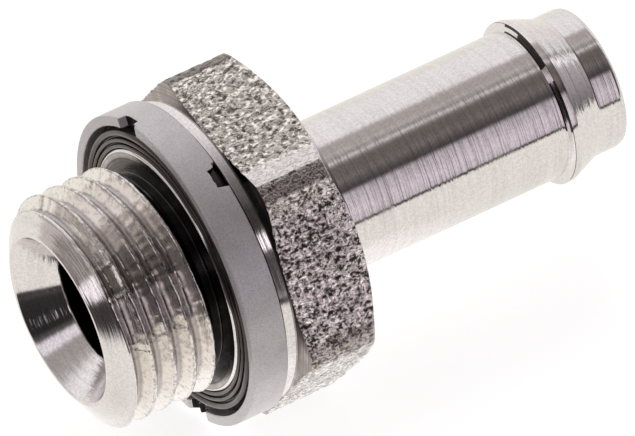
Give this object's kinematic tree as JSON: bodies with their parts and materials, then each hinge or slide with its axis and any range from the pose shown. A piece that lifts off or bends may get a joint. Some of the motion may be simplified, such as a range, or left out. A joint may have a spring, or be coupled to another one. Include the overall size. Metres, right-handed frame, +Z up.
{
  "type": "screw-in hose nipple",
  "caption": "Stainless screw-in hose nipple: parallel pipe thread with conical mouth, lipped face seal in a support ring, spanner hexagon and plain spigot with a low barb near its tip.",
  "frame": {"origin": "on the fitting's axis, at the middle of the threaded length", "axes": "+X along the axis from the thread towards the hose, +Z up with the fitting lying on one flat of its hexagon"},
  "size_m": [0.0246, 0.0144, 0.0132],
  "materials": {
    "stainless": "turned bright, hexagon left rough",
    "seal_rubber": "moulded, slightly glossy",
    "ring_plastic": "satin"
  },
  "bodies": {
    "root": {"nipple_body": "stainless", "seal_ring": "seal_rubber", "support_ring": "ring_plastic"}
  },
  "joints": []
}
